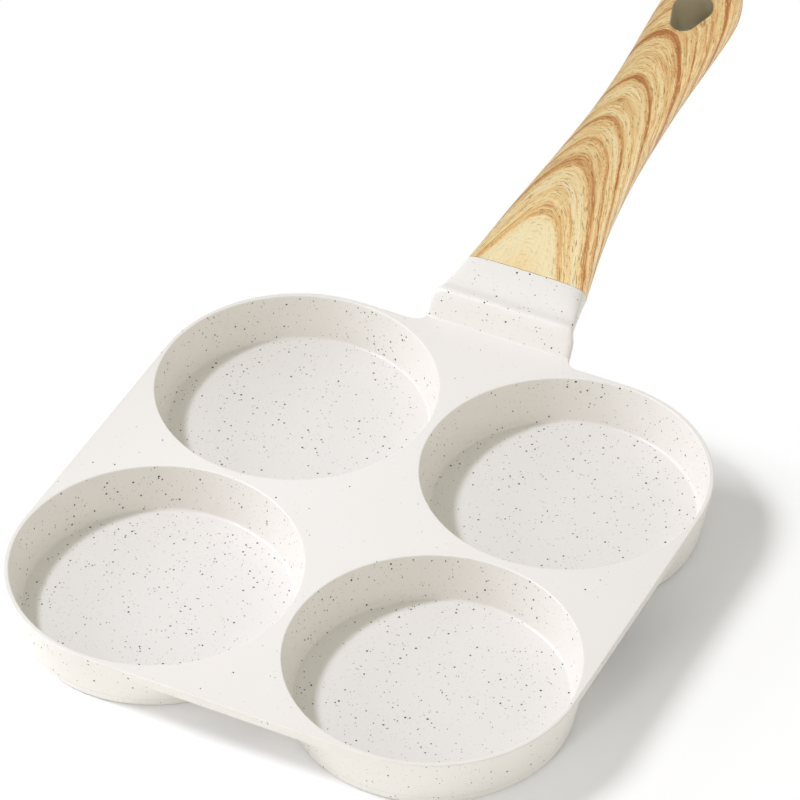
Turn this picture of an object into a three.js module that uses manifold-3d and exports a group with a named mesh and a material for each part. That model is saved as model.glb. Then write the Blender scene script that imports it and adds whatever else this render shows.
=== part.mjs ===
// Four-cup egg pan: a coated aluminium casting with four round cups, a steel disc under each cup and a
// screwed-on grip with a hanging hole. Millimetres, +Z up, the handle points along +Y, and the deck's top
// lies at z = 0 until the finished group is set down on its discs.
import * as THREE from 'three';
import { mergeVertices } from 'three/addons/utils/BufferGeometryUtils.js';
import Module from 'manifold-3d';

const wasm = await Module();
wasm.setup();

// Cups and deck
const CUP_PITCH = 95;
const RIM_RADIUS = 45.8;
const CUP_DEPTH = 15.9;
const WALL_DRAFT = THREE.MathUtils.degToRad(10.3);
const WALL = 1.7;
const FLOOR = 3.1;
const FLOOR_FILLET = 2;
const RIM_ROUND = 0.5;
const BASE_ROUND = 1.2;
const DECK = 3.8;
const DECK_EDGE_ROUND = 1;

// Base discs
const DISC_RADIUS = 36;
const DISC = 1.2;
const DISC_CHAMFER = 0.3;
const DISC_PROUD = 0.3;
const DISC_FIT = 0.25;

// Neck: a step up from the deck, a low ridge, a shallow valley and a ramp to the grip
const CREASE_FROM_EDGE = 3;
const STEP_SLOPE = THREE.MathUtils.degToRad(62);
const STEP_HEIGHT = 8.9;
const STEP_PLATE = 2.8;
const SHOULDER_AT = 0.86; // share of the step's height where it starts to turn over
const NECK_FOOT_WIDTH = 51;
const NECK_FOOT_FILLET = 4.5;
const RIDGE_WIDTH = 48.6;
const RIDGE_ROUND = 0.9;
const RIDGE_THICKNESS = 4.1;
const RIDGE_LEAN = 1; // how far the underside of the ridge lies behind its top
const VALLEY_RUN = 3;
const VALLEY_DROP = 0.45;
const RAMP_RUN = 12.5;
const RAMP_RISE = 4.25;
// Shares of the narrowing from ridge to grip that are reached at the valley and on the ramp
const VALLEY_NARROWING = 0.25;
const RAMP_NARROWING = 0.67;

// Grip
const GRIP_LENGTH = 158;
const GRIP_TILT = THREE.MathUtils.degToRad(18);
const GRIP_JOINT_WIDTH = 42.4;
const GRIP_WAIST_WIDTH = 24.8;
const GRIP_TAIL_WIDTH = 28;
const GRIP_JOINT_THICKNESS = 10;
const GRIP_THICKNESS = 15;
const GRIP_TAIL_ROUND = 27;
const GRIP_END_ROUND = 8;
const GRIP_END_SHARE = 0.32; // share of its thickness that the grip keeps at the very end
const GRIP_FULL_AT = 0.22;
const GRIP_WAIST_AT = 0.58;
const GRIP_WIDEST_AT = 0.9;
// Centre line of the grip: share of its length, height over the joint
const GRIP_LINE = [[0, 0], [0.15, 5.7], [0.3, 8.5], [0.55, 11.2], [0.8, 15.7], [1, 20.3]];
const JOINT_GAP = 0.3;
const JOINT_SQUARENESS = 4.2;
const GRIP_SQUARENESS = 2.8;
const PLATE_SQUARENESS = 8;
const TAIL_SQUARENESS = 2.5;

// Hanging hole: two circles and their tangents, narrower on the underside
const HOLE_FROM_TAIL = 24.6;
const HOLE_TAIL_RADIUS = 7;
const HOLE_NEAR_RADIUS = 4.4;
const HOLE_CENTRES = 8.2;
const HOLE_UNDER_SHARE = 0.55;

// Tang, screw and washer
const TANG_LENGTH = 26;
const TANG_ROOT = 5;
const TANG_WIDTH = 24;
const TANG = 4.5;
const TANG_TILT = THREE.MathUtils.degToRad(13.5);
const TANG_LIFT = 0.9;
const TANG_FIT = 0.3;
const SCREW_FROM_JOINT = 18;
const SCREW_RADIUS = 2;
const SCREW_FIT = 0.3;
const SCREW_SHORT_OF_TANG = 0.5;
const HEAD_RADIUS = 3.8;
const HEAD_HEIGHT = 1.7;
const HEAD_ROUND = 0.6;
const CROSS_WIDTH = 0.9;
const CROSS_LENGTH = 4.2;
const CROSS_DEPTH = 1.1;
const WASHER_RADIUS = 4.5;
const WASHER = 0.6;
const SEAT_FLOOR = 1.6;
const SEAT_GAP = 0.2;

// Facets
const CUP_SEGMENTS = 40;
const DISC_SEGMENTS = 40;
const SCREW_SEGMENTS = 24;
const FILLET_STEPS = 3;
const EDGE_STEPS = 2;
const OUTLINE_STEPS = 12;
const RING_POINTS = 32;
const NECK_RINGS = 16;
const GRIP_RINGS = 20;
const TAIL_RINGS = 8;
// Length by which a cutter runs past the face that it opens
const OVERRUN = 2;
// Corners closer than this are one corner
const WELD = 1e-4;

const coating = new THREE.MeshStandardMaterial({ color: 0xf1efe9, roughness: 0.42, metalness: 0 });
const steel = new THREE.MeshStandardMaterial({ color: 0xb9b8b4, roughness: 0.35, metalness: 1 });
const woodPrint = new THREE.MeshStandardMaterial({ color: 0xdfc08c, roughness: 0.48, metalness: 0 });

// Booleans
function solid(geometry) {
  const bare = geometry.clone();
  bare.deleteAttribute('normal');
  bare.deleteAttribute('uv');
  const merged = mergeVertices(bare, WELD);
  const corners = merged.index.array;
  const triangles = [];
  for (let i = 0; i < corners.length; i += 3) {
    const [a, b, c] = corners.slice(i, i + 3);
    if (a !== b && b !== c && c !== a) triangles.push(a, b, c);
  }
  return new wasm.Manifold(new wasm.Mesh({
    numProp: 3,
    vertProperties: merged.attributes.position.array,
    triVerts: new Uint32Array(triangles),
  }));
}

function shaped(start, { joined = [], cut = [] }) {
  let body = solid(start);
  for (const piece of joined) body = body.add(solid(piece));
  for (const tool of cut) body = body.subtract(solid(tool));
  const mesh = body.getMesh();
  const geometry = new THREE.BufferGeometry();
  geometry.setAttribute('position', new THREE.BufferAttribute(mesh.vertProperties, 3));
  geometry.setIndex(new THREE.BufferAttribute(mesh.triVerts, 1));
  geometry.computeVertexNormals();
  return geometry;
}

// Profiles: a turned solid, an arc's points, a lofted solid
function turned(profile, segments) {
  return new THREE.LatheGeometry(profile, segments).rotateX(Math.PI / 2);
}

function arc(radius, centreRadius, centreHeight, from, to, steps) {
  const points = [];
  for (let i = 0; i <= steps; i += 1) {
    const angle = from + ((to - from) * i) / steps;
    const out = centreRadius + radius * Math.cos(angle);
    points.push(new THREE.Vector2(out, centreHeight + radius * Math.sin(angle)));
  }
  return points;
}

function ring(centre, tilt, halfWidth, halfThickness, squareness) {
  const power = 2 / squareness;
  return Array.from({ length: RING_POINTS }, (_, i) => {
    const angle = (2 * Math.PI * i) / RING_POINTS;
    const across = halfWidth * Math.sign(Math.cos(angle)) * Math.abs(Math.cos(angle)) ** power;
    const up = halfThickness * Math.sign(Math.sin(angle)) * Math.abs(Math.sin(angle)) ** power;
    return new THREE.Vector3(across, centre.y - up * Math.sin(tilt), centre.z + up * Math.cos(tilt));
  });
}

function loft(rings) {
  const points = rings.flat();
  const middle = (list) => {
    const sum = list.reduce((total, point) => total.add(point), new THREE.Vector3());
    return sum.divideScalar(list.length);
  };
  points.push(middle(rings[0]), middle(rings.at(-1)));
  const startPole = points.length - 2;
  const endPole = points.length - 1;
  const lastRing = (rings.length - 1) * RING_POINTS;
  const index = [];
  for (let j = 0; j < RING_POINTS; j += 1) {
    const k = (j + 1) % RING_POINTS;
    index.push(startPole, j, k, endPole, lastRing + k, lastRing + j);
    for (let here = 0; here < lastRing; here += RING_POINTS) {
      const next = here + RING_POINTS;
      index.push(here + j, next + j, next + k, here + j, next + k, here + k);
    }
  }
  const geometry = new THREE.BufferGeometry().setFromPoints(points);
  return geometry.setIndex(index);
}

// Places that several pieces share
const lipRadius = RIM_RADIUS + WALL;
const edge = CUP_PITCH / 2 + lipRadius;
const base = -(CUP_DEPTH + FLOOR);
const wallRadius = (height) => RIM_RADIUS + height * Math.tan(WALL_DRAFT);
const recessTop = base - DISC_PROUD + DISC + DISC_FIT;
const crease = edge + CREASE_FROM_EDGE;
const stepRun = STEP_HEIGHT / Math.tan(STEP_SLOPE);
const ridge = new THREE.Vector3(0, crease + stepRun + RIDGE_ROUND, STEP_HEIGHT);
const valley = new THREE.Vector3(0, ridge.y + VALLEY_RUN, ridge.z - VALLEY_DROP);
const jointTop = new THREE.Vector3(0, valley.y + RAMP_RUN, valley.z + RAMP_RISE);
const gripUp = new THREE.Vector3(0, -Math.sin(GRIP_TILT), Math.cos(GRIP_TILT));
const joint = jointTop.clone().addScaledVector(gripUp, -GRIP_JOINT_THICKNESS / 2);
const tangFrame = new THREE.Matrix4().makeRotationX(TANG_TILT).setPosition(joint);
const socketBottom = TANG_LIFT - TANG / 2 - TANG_FIT;
const screwSeat = socketBottom - SEAT_FLOOR;
const washerTop = screwSeat - SEAT_GAP;
const headTop = washerTop - WASHER - SEAT_GAP;
const cups = {
  front_left: [-CUP_PITCH / 2, -CUP_PITCH / 2],
  front_right: [CUP_PITCH / 2, -CUP_PITCH / 2],
  back_left: [-CUP_PITCH / 2, CUP_PITCH / 2],
  back_right: [CUP_PITCH / 2, CUP_PITCH / 2],
};

// Deck plate: the hull of the four lips, with a tongue at the back where the neck begins
function deckPlate() {
  const tongueEnd = crease + STEP_PLATE * Math.sin(STEP_SLOPE);
  const tongueSide = NECK_FOOT_WIDTH / 2;
  const fillet = Math.min(NECK_FOOT_FILLET, tongueEnd - edge - DECK_EDGE_ROUND);
  const centre = CUP_PITCH / 2;
  const quarter = Math.PI / 2;
  const outline = new THREE.Shape();
  outline.moveTo(-centre, -edge);
  outline.absarc(centre, -centre, lipRadius, -quarter, 0);
  outline.absarc(centre, centre, lipRadius, 0, quarter);
  outline.absarc(tongueSide + fillet, edge + fillet, fillet, -quarter, -2 * quarter, true);
  outline.lineTo(tongueSide, tongueEnd);
  outline.lineTo(-tongueSide, tongueEnd);
  outline.absarc(-tongueSide - fillet, edge + fillet, fillet, 0, -quarter, true);
  outline.absarc(-centre, centre, lipRadius, quarter, 2 * quarter);
  outline.absarc(-centre, -centre, lipRadius, 2 * quarter, 3 * quarter);
  const plate = new THREE.ExtrudeGeometry(outline, {
    depth: DECK - 2 * DECK_EDGE_ROUND,
    curveSegments: OUTLINE_STEPS,
    bevelSize: DECK_EDGE_ROUND,
    bevelThickness: DECK_EDGE_ROUND,
    bevelOffset: -DECK_EDGE_ROUND,
    bevelSegments: EDGE_STEPS,
  });
  return plate.translate(0, 0, DECK_EDGE_ROUND - DECK);
}

// Outside of one cup, down from inside the deck plate
function cupShell() {
  const foot = wallRadius(base) + WALL;
  const top = -DECK / 2;
  const roundCentre = foot - BASE_ROUND;
  const profile = [
    new THREE.Vector2(0, base),
    ...arc(BASE_ROUND, roundCentre, base + BASE_ROUND, -Math.PI / 2, -WALL_DRAFT, EDGE_STEPS),
    new THREE.Vector2(wallRadius(top) + WALL, top),
    new THREE.Vector2(0, top),
  ];
  return turned(profile, CUP_SEGMENTS);
}

// Inside of one cup: floor, fillet, drafted wall and a rounded rim
function cupHollow() {
  const filletRise = FLOOR_FILLET * (1 - Math.sin(WALL_DRAFT));
  const filletCentre = wallRadius(filletRise - CUP_DEPTH) - FLOOR_FILLET * Math.cos(WALL_DRAFT);
  const filletHeight = FLOOR_FILLET - CUP_DEPTH;
  const rimCentre = wallRadius(-RIM_ROUND) + RIM_ROUND;
  const profile = [
    new THREE.Vector2(0, -CUP_DEPTH),
    ...arc(FLOOR_FILLET, filletCentre, filletHeight, -Math.PI / 2, -WALL_DRAFT, FILLET_STEPS),
    ...arc(RIM_ROUND, rimCentre, -RIM_ROUND, Math.PI - WALL_DRAFT, Math.PI / 2, EDGE_STEPS),
    new THREE.Vector2(rimCentre, OVERRUN),
    new THREE.Vector2(0, OVERRUN),
  ];
  return turned(profile, CUP_SEGMENTS);
}

function discRecess() {
  const depth = recessTop - base + OVERRUN;
  const radius = DISC_RADIUS + DISC_FIT;
  const recess = new THREE.CylinderGeometry(radius, radius, depth, DISC_SEGMENTS);
  return recess.rotateX(Math.PI / 2).translate(0, 0, recessTop - depth / 2);
}

// Neck: pairs of points on its top and underside carry rings that turn from a plate into the grip's oval
function neck() {
  const stepUp = new THREE.Vector3(0, Math.cos(STEP_SLOPE), Math.sin(STEP_SLOPE));
  const stepOut = new THREE.Vector3(0, -Math.sin(STEP_SLOPE), Math.cos(STEP_SLOPE));
  const foot = new THREE.Vector3(0, crease, 0);
  const onStep = (height) => foot.clone().addScaledVector(stepUp, height / Math.sin(STEP_SLOPE));
  const below = (top) => top.clone().addScaledVector(stepOut, -STEP_PLATE);
  const midway = (from, to) => from.clone().lerp(to, 1 / 2);
  const root = onStep(-DECK / 2);
  const half = onStep(STEP_HEIGHT / 2);
  const shoulder = onStep(SHOULDER_AT * STEP_HEIGHT);
  const ridgeBelow = new THREE.Vector3(0, ridge.y + RIDGE_LEAN, ridge.z - RIDGE_THICKNESS);
  const shoulderBelow = midway(below(half), ridgeBelow);
  const valleyBelow = new THREE.Vector3(0, valley.y + RIDGE_LEAN / 2, valley.z - RIDGE_THICKNESS);
  const jointBelow = jointTop.clone().addScaledVector(gripUp, -GRIP_JOINT_THICKNESS);
  const ramp = midway(valley, jointTop);
  const rampBelow = midway(valleyBelow, jointBelow);
  const tops = new THREE.CatmullRomCurve3([root, half, shoulder, ridge, valley, ramp, jointTop]);
  const stepBelow = [below(root), below(half), shoulderBelow];
  const behindBelow = [ridgeBelow, valleyBelow, rampBelow, jointBelow];
  const undersides = new THREE.CatmullRomCurve3([...stepBelow, ...behindBelow]);
  const footSide = NECK_FOOT_WIDTH / 2;
  const crest = RIDGE_WIDTH / 2;
  const meet = GRIP_JOINT_WIDTH / 2;
  const narrowed = (share) => THREE.MathUtils.lerp(crest, meet, share);
  const behindRidge = [narrowed(VALLEY_NARROWING), narrowed(RAMP_NARROWING), meet];
  const sides = [footSide, footSide, (footSide + crest) / 2, crest, ...behindRidge];
  const widths = new THREE.CatmullRomCurve3(sides.map((width, i) => new THREE.Vector3(width, i, 0)));
  const rings = [];
  for (let i = 0; i <= NECK_RINGS; i += 1) {
    const t = i / NECK_RINGS;
    const top = tops.getPoint(t);
    const bottom = undersides.getPoint(t);
    const rise = top.clone().sub(bottom);
    const tilt = i === NECK_RINGS ? GRIP_TILT : Math.atan2(-rise.y, rise.z);
    const squareness = THREE.MathUtils.lerp(PLATE_SQUARENESS, JOINT_SQUARENESS, t);
    const centre = top.clone().add(bottom).divideScalar(2);
    rings.push(ring(centre, tilt, widths.getPoint(t).x, rise.length() / 2, squareness));
  }
  return loft(rings);
}

// A box in the tang's frame, from one distance along the grip to another
function alongGrip(width, thickness, from, to) {
  const bar = new THREE.BoxGeometry(width, to - from, thickness);
  return bar.translate(0, (from + to) / 2, TANG_LIFT).applyMatrix4(tangFrame);
}

// A round cutter in the tang's frame, square to the tang
function screwHole(radius, from, to) {
  const hole = new THREE.CylinderGeometry(radius, radius, to - from, SCREW_SEGMENTS);
  hole.rotateX(Math.PI / 2).translate(0, SCREW_FROM_JOINT, (from + to) / 2);
  return hole.applyMatrix4(tangFrame);
}

function panBody() {
  const places = Object.values(cups);
  const shells = places.map(([x, y]) => cupShell().translate(x, y, 0));
  const hollows = places.map(([x, y]) => cupHollow().translate(x, y, 0));
  const recesses = places.map(([x, y]) => discRecess().translate(x, y, 0));
  const tang = alongGrip(TANG_WIDTH, TANG, -TANG_ROOT, TANG_LENGTH);
  const tapping = screwHole(SCREW_RADIUS + SCREW_FIT, TANG_LIFT - TANG, TANG_LIFT + TANG);
  const joined = [...shells, neck(), tang];
  return shaped(deckPlate(), { joined, cut: [...hollows, ...recesses, tapping] });
}

function baseDisc() {
  const bottom = base - DISC_PROUD;
  const profile = [
    new THREE.Vector2(0, bottom),
    new THREE.Vector2(DISC_RADIUS - DISC_CHAMFER, bottom),
    new THREE.Vector2(DISC_RADIUS, bottom + DISC_CHAMFER),
    new THREE.Vector2(DISC_RADIUS, bottom + DISC),
    new THREE.Vector2(0, bottom + DISC),
  ];
  return shaped(turned(profile, DISC_SEGMENTS), {});
}

// Half width of the grip at a share of its length: a flare at the joint, a waist, a wider rounded tail
function gripHalfWidth(share) {
  const waist = GRIP_WAIST_WIDTH / 2;
  if (share < GRIP_WAIST_AT) {
    return waist + (GRIP_JOINT_WIDTH / 2 - waist) * (1 - share / GRIP_WAIST_AT) ** 2;
  }
  const toTail = Math.min(1, (share - GRIP_WAIST_AT) / (GRIP_WIDEST_AT - GRIP_WAIST_AT));
  const full = waist + (GRIP_TAIL_WIDTH / 2 - waist) * THREE.MathUtils.smoothstep(toTail, 0, 1);
  const intoRound = Math.max(0, 1 - ((1 - share) * GRIP_LENGTH) / GRIP_TAIL_ROUND);
  return full * (1 - intoRound ** TAIL_SQUARENESS) ** (1 / TAIL_SQUARENESS);
}

// One at the joint, none from the place on where the grip has its full, rounder section
function nearJoint(share) {
  return Math.max(0, 1 - share / GRIP_FULL_AT) ** 2;
}

function gripHalfThickness(share) {
  const full = THREE.MathUtils.lerp(GRIP_THICKNESS, GRIP_JOINT_THICKNESS, nearJoint(share)) / 2;
  const intoRound = Math.max(0, 1 - ((1 - share) * GRIP_LENGTH) / GRIP_END_ROUND);
  return full * Math.sqrt(1 - (1 - GRIP_END_SHARE ** 2) * intoRound ** 2);
}

const gripAhead = new THREE.Vector3(0, Math.cos(GRIP_TILT), Math.sin(GRIP_TILT));
const gripStart = joint.clone().addScaledVector(gripAhead, JOINT_GAP);
const linePoints = GRIP_LINE.map(([share, rise]) => new THREE.Vector2(share * GRIP_LENGTH, rise));
const gripLine = new THREE.SplineCurve(linePoints);

function gripPlace(share) {
  const point = gripLine.getPointAt(share);
  const direction = gripLine.getTangentAt(share);
  return {
    centre: new THREE.Vector3(0, gripStart.y + point.x, gripStart.z + point.y),
    tilt: Math.atan2(direction.y, direction.x),
    share: point.x / GRIP_LENGTH,
  };
}

function hangingHole() {
  const place = gripPlace(1 - HOLE_FROM_TAIL / GRIP_LENGTH);
  const lean = Math.asin((HOLE_TAIL_RADIUS - HOLE_NEAR_RADIUS) / HOLE_CENTRES);
  const outline = new THREE.Shape();
  outline.absarc(0, 0, HOLE_TAIL_RADIUS, -lean, Math.PI + lean);
  outline.absarc(0, -HOLE_CENTRES, HOLE_NEAR_RADIUS, Math.PI + lean, 2 * Math.PI - lean);
  const depth = GRIP_THICKNESS + 2 * OVERRUN;
  const settings = { depth, curveSegments: OUTLINE_STEPS, bevelEnabled: false };
  const hole = new THREE.ExtrudeGeometry(outline, settings);
  hole.translate(0, 0, -depth / 2);
  const middle = (HOLE_TAIL_RADIUS - HOLE_CENTRES - HOLE_NEAR_RADIUS) / 2;
  const corners = hole.attributes.position;
  for (let i = 0; i < corners.count; i += 1) {
    const below = 1 / 2 - corners.getZ(i) / GRIP_THICKNESS;
    const size = THREE.MathUtils.lerp(1, HOLE_UNDER_SHARE, below);
    corners.setXY(i, size * corners.getX(i), middle + size * (corners.getY(i) - middle));
  }
  return hole.rotateX(place.tilt).translate(0, place.centre.y, place.centre.z);
}

function grip() {
  const tailShare = 1 - GRIP_TAIL_ROUND / GRIP_LENGTH;
  const shares = [];
  for (let i = 0; i < GRIP_RINGS; i += 1) shares.push((tailShare * i) / GRIP_RINGS);
  for (let i = 0; i < TAIL_RINGS; i += 1) {
    shares.push(1 - (1 - tailShare) * (1 - Math.sin((Math.PI / 2) * (i / TAIL_RINGS))));
  }
  const rings = shares.map((share, i) => {
    const place = gripPlace(share);
    const tilt = i === 0 ? GRIP_TILT : place.tilt;
    const squareness = THREE.MathUtils.lerp(GRIP_SQUARENESS, JOINT_SQUARENESS, nearJoint(place.share));
    const halfThickness = gripHalfThickness(place.share);
    return ring(place.centre, tilt, gripHalfWidth(place.share), halfThickness, squareness);
  });
  const clear = 2 * TANG_FIT;
  const socket = alongGrip(TANG_WIDTH + clear, TANG + clear, -OVERRUN, TANG_LENGTH + TANG_FIT);
  const clearance = screwHole(SCREW_RADIUS + SCREW_FIT, screwSeat - OVERRUN, TANG_LIFT);
  const counterbore = screwHole(WASHER_RADIUS + SCREW_FIT, -GRIP_THICKNESS, screwSeat);
  return shaped(loft(rings), { cut: [socket, clearance, counterbore, hangingHole()] });
}

// Pan-head screw with a cross recess, head down
function screw() {
  const tip = TANG_LIFT + TANG / 2 - SCREW_SHORT_OF_TANG - headTop;
  const roundCentre = HEAD_RADIUS - HEAD_ROUND;
  const profile = [
    new THREE.Vector2(0, -HEAD_HEIGHT),
    ...arc(HEAD_ROUND, roundCentre, HEAD_ROUND - HEAD_HEIGHT, -Math.PI / 2, 0, FILLET_STEPS),
    new THREE.Vector2(HEAD_RADIUS, 0),
    new THREE.Vector2(SCREW_RADIUS, 0),
    new THREE.Vector2(SCREW_RADIUS, tip),
    new THREE.Vector2(0, tip),
  ];
  const slot = new THREE.BoxGeometry(CROSS_WIDTH, CROSS_LENGTH, 2 * CROSS_DEPTH);
  slot.translate(0, 0, -HEAD_HEIGHT);
  const crossSlot = slot.clone().rotateZ(Math.PI / 2);
  return shaped(turned(profile, SCREW_SEGMENTS), { cut: [slot, crossSlot] });
}

function washer() {
  const bore = SCREW_RADIUS + SCREW_FIT;
  const profile = [
    new THREE.Vector2(bore, -WASHER),
    new THREE.Vector2(WASHER_RADIUS, -WASHER),
    new THREE.Vector2(WASHER_RADIUS, 0),
    new THREE.Vector2(bore, 0),
    new THREE.Vector2(bore, -WASHER),
  ];
  return shaped(turned(profile, SCREW_SEGMENTS), {});
}

// Assembly
function named(name, geometry, material) {
  const mesh = new THREE.Mesh(geometry, material);
  mesh.name = name;
  return mesh;
}

const pan = new THREE.Group();
pan.add(named('pan_body', panBody(), coating));
for (const [name, [x, y]] of Object.entries(cups)) {
  const disc = named(`base_disc_${name}`, baseDisc(), steel);
  disc.position.set(x, y, 0);
  pan.add(disc);
}
pan.add(named('handle', grip(), woodPrint));

const fastening = new THREE.Group();
fastening.applyMatrix4(tangFrame);
const handleScrew = named('handle_screw', screw(), steel);
handleScrew.position.set(0, SCREW_FROM_JOINT, headTop);
const screwWasher = named('screw_washer', washer(), steel);
screwWasher.position.set(0, SCREW_FROM_JOINT, washerTop);
fastening.add(handleScrew, screwWasher);
pan.add(fastening);

// The origin goes to the middle of the footprint, on the surface that the discs stand on
const box = new THREE.Box3().setFromObject(pan);
pan.position.set(0, -(box.min.y + box.max.y) / 2, -box.min.z);
pan.updateMatrixWorld(true);

export default pan;
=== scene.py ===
# Four-cup egg pan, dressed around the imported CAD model. Every piece is modelled in metres in the CAD's own
# frame: the handle points along +Y and the base discs stand on z = 0.
import math

import bmesh
import bpy
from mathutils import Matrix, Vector


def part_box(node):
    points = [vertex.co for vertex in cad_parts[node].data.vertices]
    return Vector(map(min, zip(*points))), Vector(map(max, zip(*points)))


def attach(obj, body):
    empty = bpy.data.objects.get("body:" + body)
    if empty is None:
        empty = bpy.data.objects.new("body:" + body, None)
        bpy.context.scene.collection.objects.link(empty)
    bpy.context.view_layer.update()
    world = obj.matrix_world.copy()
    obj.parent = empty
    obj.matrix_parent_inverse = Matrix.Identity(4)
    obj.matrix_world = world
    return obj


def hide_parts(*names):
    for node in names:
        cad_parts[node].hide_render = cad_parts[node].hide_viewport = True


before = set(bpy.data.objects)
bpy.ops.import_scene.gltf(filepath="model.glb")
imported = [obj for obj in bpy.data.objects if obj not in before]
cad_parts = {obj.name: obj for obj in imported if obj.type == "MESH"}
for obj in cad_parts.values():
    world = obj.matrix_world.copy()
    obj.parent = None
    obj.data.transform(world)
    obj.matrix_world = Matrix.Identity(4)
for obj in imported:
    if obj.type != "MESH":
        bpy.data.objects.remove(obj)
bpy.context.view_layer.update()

# Pan casting: one die-cast aluminium piece with a flat deck, four round cups, a stepped neck and the tang
# that goes into the grip. The cups are turned true, all edges are eased, and a speckled non-stick coating
# covers it.
MM = 0.001
CUP_PITCH = 95 * MM
RIM_RADIUS = 45.8 * MM
CUP_DEPTH = 15.9 * MM
WALL_DRAFT = math.radians(10.3)
WALL = 1.7 * MM
WALL_FLUSH = 0.02 * MM
FLOOR = 3.1 * MM
FLOOR_FILLET = 1.2 * MM
RIM_ROUND = 0.5 * MM
BASE_ROUND = 1.2 * MM
DECK = 3.8 * MM
DECK_EDGE_ROUND = 0.5 * MM
DISC_RADIUS = 36 * MM
DISC = 1.2 * MM
DISC_PROUD = 0.3 * MM
DISC_FIT = 0.25 * MM
CUP_SEGMENTS = 160
ROUND_STEPS = 6
OVERRUN = 2 * MM

lip = RIM_RADIUS + WALL
half_deck = CUP_PITCH / 2 + lip
deck_top = DISC_PROUD + FLOOR + CUP_DEPTH
pan_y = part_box("pan_body")[0].y + half_deck
cup_centres = {
    "front_left": (-CUP_PITCH / 2, pan_y - CUP_PITCH / 2),
    "front_right": (CUP_PITCH / 2, pan_y - CUP_PITCH / 2),
    "back_left": (-CUP_PITCH / 2, pan_y + CUP_PITCH / 2),
    "back_right": (CUP_PITCH / 2, pan_y + CUP_PITCH / 2),
}


def only(piece):
    bpy.ops.object.select_all(action="DESELECT")
    piece.select_set(True)
    bpy.context.view_layer.objects.active = piece


def added(operator, name, **settings):
    """A new primitive with its place in its mesh, left in edit mode."""
    bpy.ops.object.select_all(action="DESELECT")
    operator(**settings)
    piece = bpy.context.object
    piece.name = piece.data.name = name
    bpy.ops.object.transform_apply(location=True, rotation=True, scale=True)
    bpy.ops.object.mode_set(mode="EDIT")
    return piece


def pick(kind, test):
    """Selects the corners, edges or faces that pass the test, and nothing else."""
    bpy.ops.mesh.select_mode(type=kind)
    bpy.ops.mesh.select_all(action="DESELECT")
    shape = bmesh.from_edit_mesh(bpy.context.object.data)
    for part in {"VERT": shape.verts, "EDGE": shape.edges, "FACE": shape.faces}[kind]:
        if test(part):
            part.select_set(True)
    shape.select_flush_mode()
    bmesh.update_edit_mesh(bpy.context.object.data)


def finish_mesh():
    """Turns all faces outwards and leaves edit mode."""
    bpy.ops.mesh.select_mode(type="VERT")
    bpy.ops.mesh.select_all(action="SELECT")
    bpy.ops.mesh.normals_make_consistent(inside=False)
    bpy.ops.object.mode_set(mode="OBJECT")


def combine(piece, tool, operation):
    only(piece)
    bpy.ops.object.modifier_add(type="BOOLEAN")
    change = piece.modifiers[-1]
    change.operation = operation
    change.solver = "EXACT"
    change.object = tool
    bpy.ops.object.modifier_apply(modifier=change.name)
    bpy.data.objects.remove(tool)


def arc(radius, out, height, start, stop, steps=ROUND_STEPS):
    """Points of a turned profile on an arc about (out, height)."""
    turns = [start + (stop - start) * i / steps for i in range(steps + 1)]
    return [(out + radius * math.cos(a), height + radius * math.sin(a)) for a in turns]


def turned(name, profile, centre=(0, 0), segments=CUP_SEGMENTS):
    """A disc that is extruded upwards and scaled at each step of a profile of (radius, height)."""
    (radius, height), *steps = profile
    x, y = centre
    piece = added(bpy.ops.mesh.primitive_circle_add, name, vertices=segments, radius=radius,
                  fill_type="NGON", location=(x, y, height))
    bpy.ops.mesh.select_mode(type="FACE")
    bpy.ops.mesh.select_all(action="SELECT")
    for next_radius, next_height in steps:
        bpy.ops.mesh.extrude_region_move(TRANSFORM_OT_translate={"value": (0, 0, next_height - height)})
        share = next_radius / radius
        bpy.ops.transform.resize(value=(share, share, 1), center_override=(x, y, next_height))
        radius, height = next_radius, next_height
    finish_mesh()
    return piece


def wall_radius(height):
    """Inside of a cup's drafted wall at a height over the base discs' underside."""
    return RIM_RADIUS + (height - deck_top) * math.tan(WALL_DRAFT)


DECK_STRIPS = 3
NECK_FOOT_WIDTH = 51 * MM
NECK_FOOT_FILLET = 4.47 * MM
CREASE_FROM_EDGE = 3 * MM
STEP_SLOPE = math.radians(62)
STEP_PLATE = 2.8 * MM
NEAR = 0.01 * MM
back_edge = pan_y + half_deck
tongue = CREASE_FROM_EDGE + STEP_PLATE * math.sin(STEP_SLOPE)
crease = back_edge + CREASE_FROM_EDGE

# Deck: a square plate with corners round the cups and a tongue for the neck
casting = added(bpy.ops.mesh.primitive_grid_add, "pan_casting", x_subdivisions=DECK_STRIPS, y_subdivisions=1,
                size=2 * half_deck, location=(0, pan_y, deck_top))
pick("VERT", lambda v: abs(v.co.x) < half_deck - NEAR)
bpy.ops.transform.resize(value=(DECK_STRIPS * NECK_FOOT_WIDTH / (2 * half_deck), 1, 1),
                         center_override=(0, pan_y, deck_top))
pick("EDGE", lambda e: all(v.co.y > back_edge - NEAR and abs(v.co.x) < NECK_FOOT_WIDTH for v in e.verts))
bpy.ops.mesh.extrude_region_move(TRANSFORM_OT_translate={"value": (0, tongue, 0)})
pick("FACE", lambda f: True)
bpy.ops.mesh.dissolve_faces()
pick("VERT", lambda v: v.co.y < pan_y and abs(v.co.x) < half_deck - NEAR)
bpy.ops.mesh.dissolve_verts()
pick("VERT", lambda v: abs(v.co.x) > half_deck - NEAR)
bpy.ops.mesh.bevel(offset=lip, segments=CUP_SEGMENTS // 4, affect="VERTICES", clamp_overlap=False)
pick("VERT", lambda v: abs(v.co.y - back_edge) < NEAR and abs(v.co.x) < NECK_FOOT_WIDTH / 2 + NEAR)
bpy.ops.mesh.bevel(offset=NECK_FOOT_FILLET, segments=ROUND_STEPS, affect="VERTICES", clamp_overlap=False)
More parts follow.
